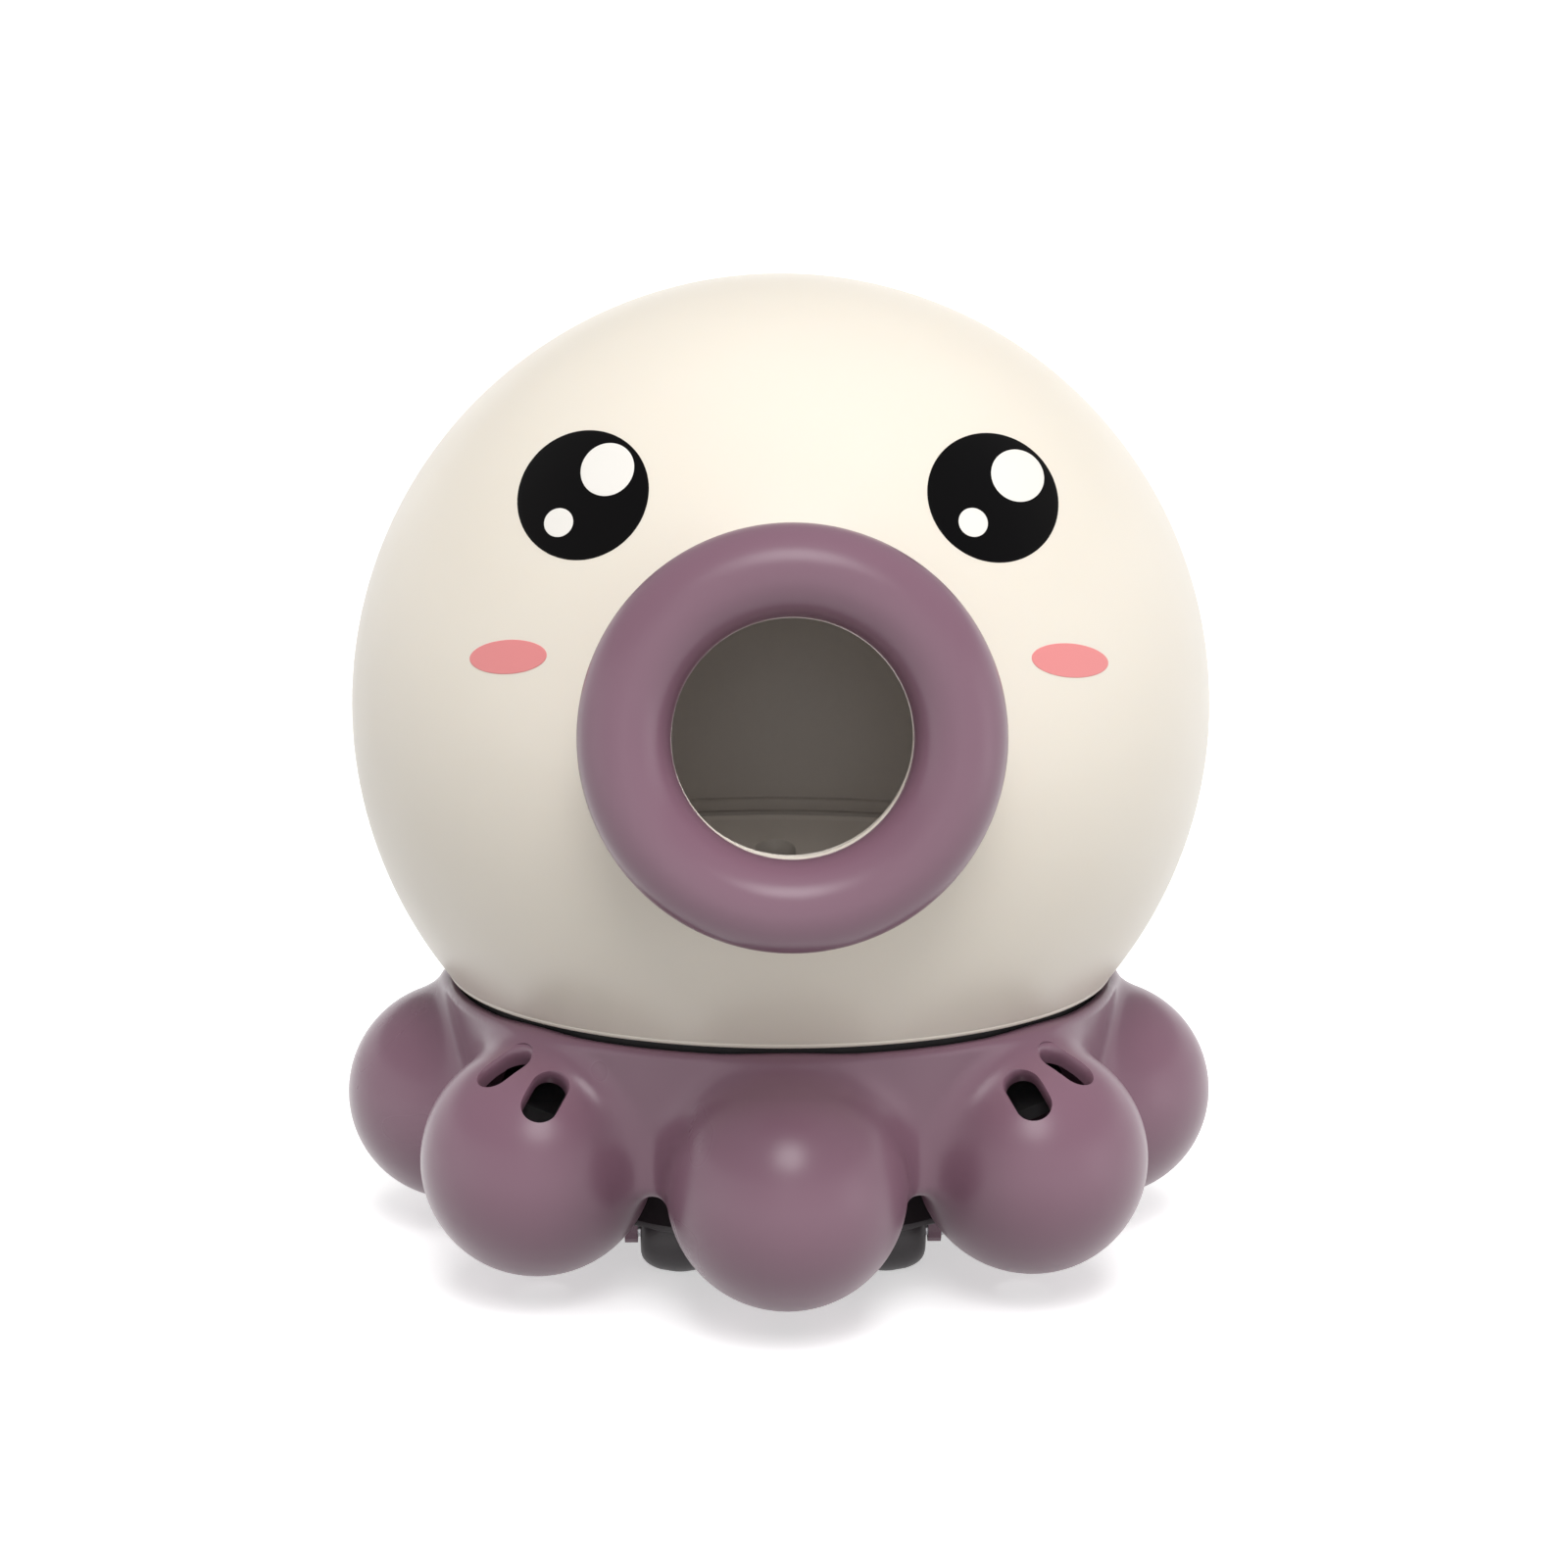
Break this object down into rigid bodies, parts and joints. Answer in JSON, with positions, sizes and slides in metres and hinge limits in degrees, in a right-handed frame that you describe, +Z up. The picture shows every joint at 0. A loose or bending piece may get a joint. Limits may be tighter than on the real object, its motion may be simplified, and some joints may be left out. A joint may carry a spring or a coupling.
{
  "type": "octopus bubble toy",
  "caption": "Round-headed octopus toy with an open ring mouth, a blower inside and a skirt of hollow ball feet, driven on small rollers under its base.",
  "frame": {"origin": "on the floor under the middle of the toy's overall box, on the mirror plane of the face", "axes": "+Z up, -Y the way the face and the mouth look, +X to the right seen from the front"},
  "size_m": [0.1332, 0.1482, 0.1469],
  "materials": {
    "cream_shell": "satin ivory ABS",
    "purple_shell": "satin dusty purple ABS",
    "eye_black": "smooth black",
    "highlight_white": "smooth off-white",
    "cheek_pink": "smooth pink",
    "tray_taupe": "satin taupe",
    "dark_grey": "satin dark grey",
    "rubber_black": "matt black rubber",
    "grey_plastic": "moulded grey",
    "steel": "bright plated steel",
    "brass": "cut brass",
    "white_acetal": "moulded white acetal",
    "board_green": "green solder mask",
    "cell_wrap": "plain blue film wrap",
    "switch_red": "moulded red"
  },
  "bodies": {
    "toy": {"air_duct": "grey_plastic", "battery_box": "grey_plastic", "battery_cell_front": "cell_wrap", "battery_cell_rear": "cell_wrap", "battery_contact_left": "steel", "battery_contact_right": "steel", "battery_door": "dark_grey", "battery_door_screw": "steel", "blower_housing": "grey_plastic", "blower_motor": "steel", "bottom_pan": "dark_grey", "bubble_tray": "tray_taupe", "chassis_deck": "grey_plastic", "cheek_left": "cheek_pink", "cheek_right": "cheek_pink", "circuit_board": "board_green", "deck_screw_1": "steel", "deck_screw_2": "steel", "deck_screw_3": "steel", "deck_screw_4": "steel", "drive_gear_motor": "steel", "eye_left": "eye_black", "eye_left_highlight_large": "highlight_white", "eye_left_highlight_small": "highlight_white", "eye_right": "eye_black", "eye_right_highlight_large": "highlight_white", "eye_right_highlight_small": "highlight_white", "front_axle": "steel", "gear_pin": "steel", "gearbox_frame": "grey_plastic", "head_front_shell": "cream_shell", "head_rear_shell": "cream_shell", "mouth_ring": "purple_shell", "pan_screw_1": "steel", "pan_screw_2": "steel", "pan_screw_3": "steel", "pan_screw_4": "steel", "power_switch_body": "eye_black", "roller_bracket_front_left": "purple_shell", "roller_bracket_front_right": "purple_shell", "roller_bracket_rear_left": "purple_shell", "roller_bracket_rear_right": "purple_shell", "seam_gasket": "rubber_black", "tentacle_base": "purple_shell", "tray_screw_1": "steel", "tray_screw_2": "steel", "tray_screw_3": "steel", "tray_screw_4": "steel"},
    "rear_wheelset": {"rear_axle": "steel", "rear_roller_left": "dark_grey", "rear_roller_right": "dark_grey", "axle_gear": "white_acetal"},
    "front_left_wheel": {"front_roller_left": "dark_grey"},
    "front_right_wheel": {"front_roller_right": "dark_grey"},
    "stepped_gear": {"stepped_gear": "white_acetal"},
    "motor_rotor": {"motor_pinion": "brass", "motor_shaft": "steel"},
    "impeller": {"blower_impeller": "white_acetal"},
    "power_switch": {"power_switch_slider": "switch_red"}
  },
  "joints": [
    {"name": "rear_axle_spin", "type": "hinge", "parent": "toy", "child": "rear_wheelset", "pos_m": [0, 0.03126, 0.0064], "axis": [1, 0, 0], "continuous": true},
    {"name": "front_left_roller_spin", "type": "hinge", "parent": "toy", "child": "front_left_wheel", "pos_m": [-0.0153, -0.01734, 0.0064], "axis": [1, 0, 0], "continuous": true},
    {"name": "front_right_roller_spin", "type": "hinge", "parent": "toy", "child": "front_right_wheel", "pos_m": [0.0153, -0.01734, 0.0064], "axis": [1, 0, 0], "continuous": true},
    {"name": "stepped_gear_spin", "type": "hinge", "parent": "toy", "child": "stepped_gear", "pos_m": [-0.0027, 0.03126, 0.0142], "axis": [1, 0, 0], "continuous": true},
    {"name": "motor_rotor_spin", "type": "hinge", "parent": "toy", "child": "motor_rotor", "pos_m": [-0.0027, 0.02526, 0.01918], "axis": [1, 0, 0], "continuous": true},
    {"name": "impeller_spin", "type": "hinge", "parent": "toy", "child": "impeller", "pos_m": [0, 0.01096, 0.033], "axis": [0, 0, 1], "continuous": true},
    {"name": "power_switch_slide", "type": "slide", "parent": "toy", "child": "power_switch", "axis": [0, 1, 0], "range_m": [0, 0.0034]}
  ],
  "couplings": [
    {"joint": "stepped_gear_spin", "follows": "rear_axle_spin", "ratio": -1.6},
    {"joint": "motor_rotor_spin", "follows": "rear_axle_spin", "ratio": 3.6}
  ]
}
